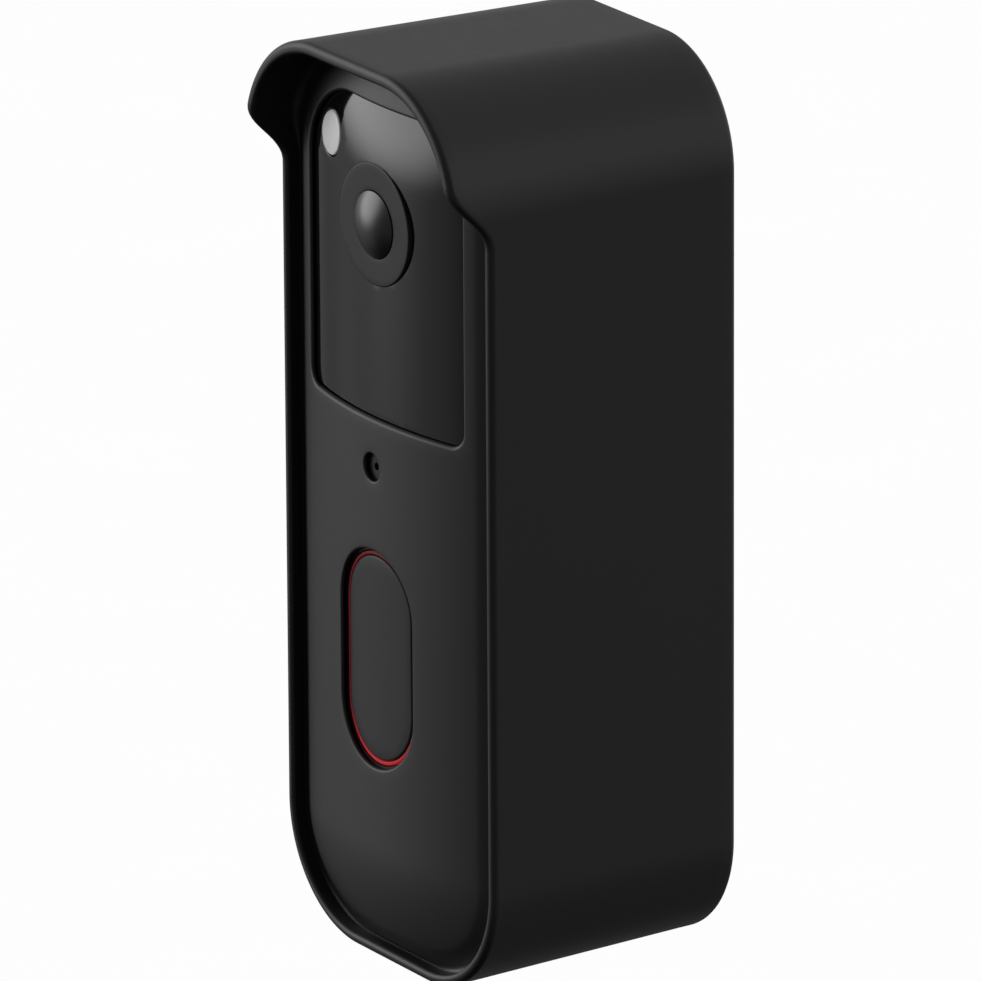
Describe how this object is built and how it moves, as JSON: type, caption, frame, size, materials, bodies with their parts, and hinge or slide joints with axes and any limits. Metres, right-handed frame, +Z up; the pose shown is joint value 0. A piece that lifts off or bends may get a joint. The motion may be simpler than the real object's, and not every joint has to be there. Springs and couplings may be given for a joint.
{
  "type": "video doorbell",
  "caption": "Black battery video doorbell with a pill-shaped button and red light ring, in a hooded silicone sleeve, on a wall bracket.",
  "frame": {"origin": "middle of the wall bracket's flat back, at half the sleeve's height, in the plane of the wall", "axes": "+Z up along the long side, -Y out of the wall through the camera and the button, +X to the right seen from the front"},
  "size_m": [0.056, 0.0497, 0.1395],
  "materials": {
    "silicone": "matte, soft touch",
    "black_plastic": "fine moulded grain",
    "gloss_black": "polished, dark tint",
    "lens_glass": "coated lens",
    "white_diffuser": "satin",
    "red_diffuser": "translucent, lit red",
    "soft_rubber": "matte",
    "circuit_board": "solder mask",
    "steel": "plated",
    "brass": "plated",
    "cell_wrap": "shrink wrap",
    "white_plastic": "moulded",
    "chip_black": "moulded resin",
    "amber_film": "polyimide film"
  },
  "bodies": {
    "bracket": {"wall_bracket": "black_plastic"},
    "doorbell": {"front_cover": "black_plastic", "rear_housing": "black_plastic", "housing_seal": "soft_rubber", "housing_screw_1": "steel", "housing_screw_2": "steel", "housing_screw_3": "steel", "housing_screw_4": "steel", "camera_window": "gloss_black", "lens_bezel": "black_plastic", "front_lens": "lens_glass", "lens_barrel": "black_plastic", "rear_lens": "lens_glass", "lens_holder": "black_plastic", "image_sensor": "chip_black", "camera_board": "circuit_board", "infrared_led_left": "lens_glass", "infrared_led_right": "lens_glass", "light_sensor_cover": "white_diffuser", "light_guide": "white_plastic", "light_sensor": "chip_black", "button_light_ring": "red_diffuser", "button_switch": "chip_black", "button_boot": "soft_rubber", "ring_led_1": "red_diffuser", "ring_led_2": "red_diffuser", "ring_led_3": "red_diffuser", "ring_led_4": "red_diffuser", "main_board": "circuit_board", "wifi_shield": "steel", "processor_shield": "steel", "microphone": "steel", "microphone_seal": "soft_rubber", "antenna": "amber_film", "ribbon_cable": "amber_film", "speaker": "chip_black", "speaker_gasket": "soft_rubber", "battery_cell_left": "cell_wrap", "battery_cell_right": "cell_wrap", "battery_tray": "black_plastic", "battery_link": "steel", "battery_contact_left": "steel", "battery_contact_right": "steel", "charging_port": "steel", "charging_board": "circuit_board", "reset_switch": "chip_black", "rear_board": "circuit_board", "terminal_screw_left": "steel", "terminal_screw_right": "steel", "terminal_plate_left": "brass", "terminal_plate_right": "brass"},
    "sleeve": {"silicone_sleeve": "silicone"},
    "button": {"button_cap": "black_plastic", "switch_plunger": "white_plastic"},
    "reset": {"reset_button": "white_plastic"},
    "port_flap": {"port_cover": "soft_rubber"},
    "lock": {"lock_screw": "steel"}
  },
  "joints": [
    {"name": "doorbell_lift", "type": "slide", "parent": "bracket", "child": "doorbell", "axis": [0, 0, 1], "range_m": [0, 0.009]},
    {"name": "sleeve_off", "type": "slide", "parent": "doorbell", "child": "sleeve", "axis": [0, -1, 0], "range_m": [0, 0.06]},
    {"name": "button_press", "type": "slide", "parent": "doorbell", "child": "button", "axis": [0, 1, 0], "range_m": [0, 0.0008], "stiffness_N_per_m": 1500},
    {"name": "reset_press", "type": "slide", "parent": "doorbell", "child": "reset", "axis": [0, -1, 0], "range_m": [0, 0.0005], "stiffness_N_per_m": 1500},
    {"name": "port_cover_hinge", "type": "hinge", "parent": "doorbell", "child": "port_flap", "pos_m": [0, -0.01155, -0.0658], "axis": [1, 0, 0], "range_deg": [0, 100], "stiffness_Nm_per_rad": 0.0004, "springref_deg": -11.46},
    {"name": "lock_screw_out", "type": "slide", "parent": "bracket", "child": "lock", "axis": [0, 0, -1], "range_m": [0, 0.009]}
  ]
}
